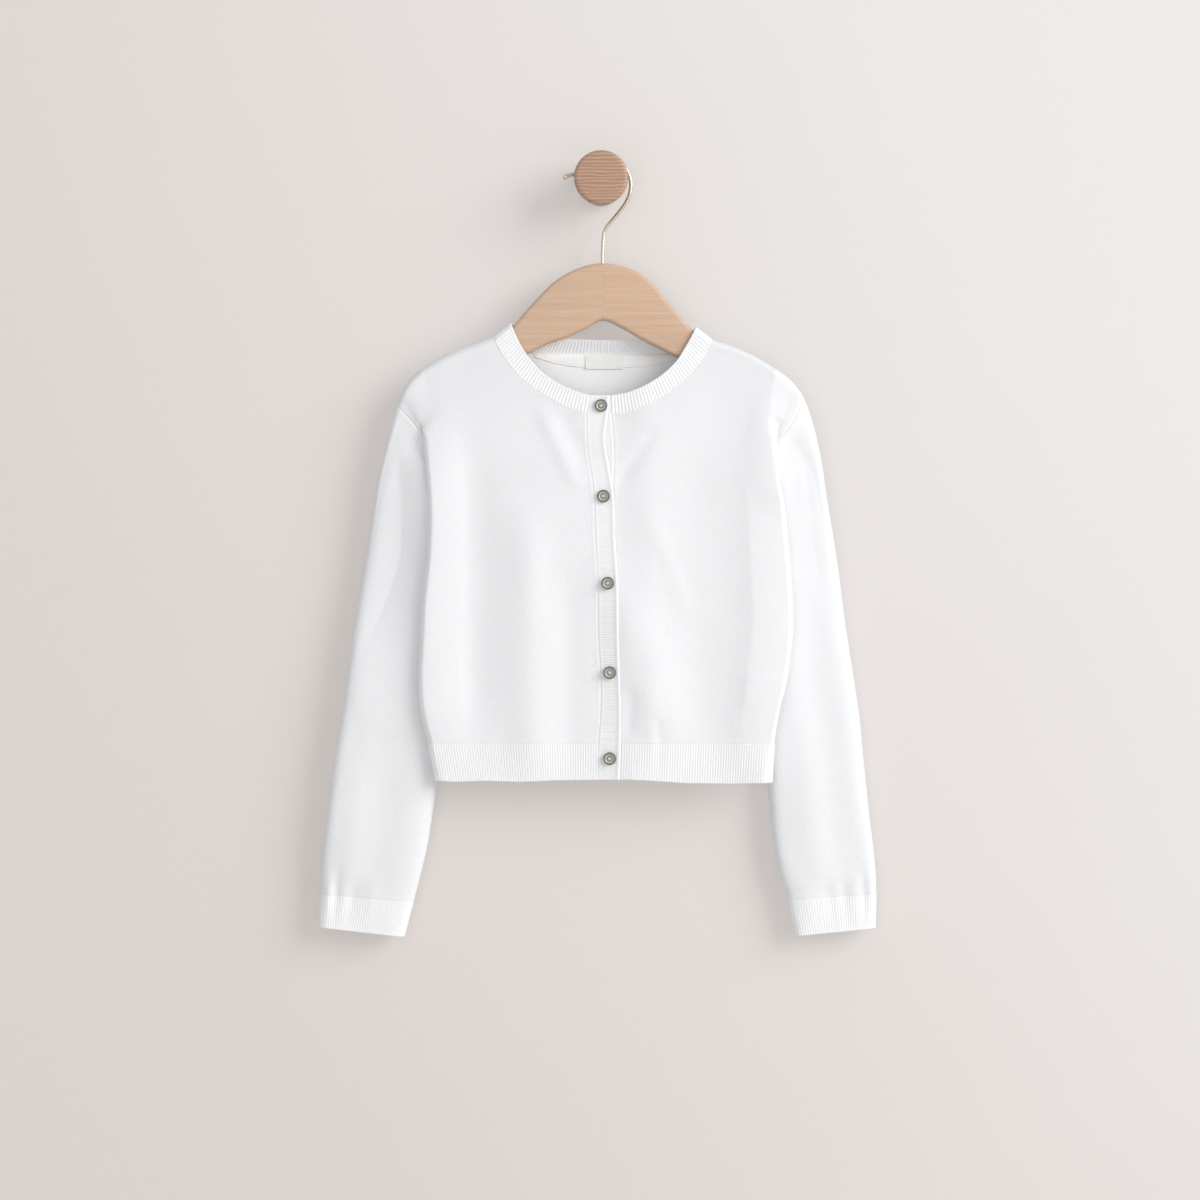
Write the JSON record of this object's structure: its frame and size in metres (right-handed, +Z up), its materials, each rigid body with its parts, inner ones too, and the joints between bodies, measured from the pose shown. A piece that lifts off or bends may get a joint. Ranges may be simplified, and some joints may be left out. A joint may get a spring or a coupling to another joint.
{
  "type": "button cardigan on a clothes hanger and wall hook",
  "caption": "Child's long-sleeved crew-neck cardigan in fine knit with ribbed trims, buttoned, hanging flat on a wooden clothes hanger from a turned wall knob.",
  "frame": {"origin": "centre of the wall knob's flat back face, where it meets the wall", "axes": "+X to the right of someone who faces the wall, +Y into the wall, +Z up"},
  "size_m": [0.4903, 0.052, 0.6859],
  "materials": {
    "knit": "matte fine plain knit, slightly fuzzy",
    "rib": "matte one-by-one rib knit",
    "tape": "matte knitted tape",
    "label": "smooth cream satin, bare",
    "button": "smoky grey-green pearl with a dark rim",
    "beech": "pale satin beech",
    "knob_wood": "reddish oiled beech, horizontal grain on the face",
    "wire": "champagne satin plating"
  },
  "bodies": {
    "root": {"front_left": "knit", "front_right": "knit", "back": "knit", "sleeve_left": "knit", "sleeve_right": "knit", "neckband": "rib", "band_top": "rib", "band_under": "rib", "hem_left": "rib", "hem_right": "rib", "hem_back": "rib", "cuff_left": "rib", "cuff_right": "rib", "neck_tape": "tape", "neck_label": "label", "button_1": "button", "button_2": "button", "button_3": "button", "button_4": "button", "button_5": "button", "hanger": "beech", "hook": "wire", "wall_knob": "knob_wood"}
  },
  "joints": []
}
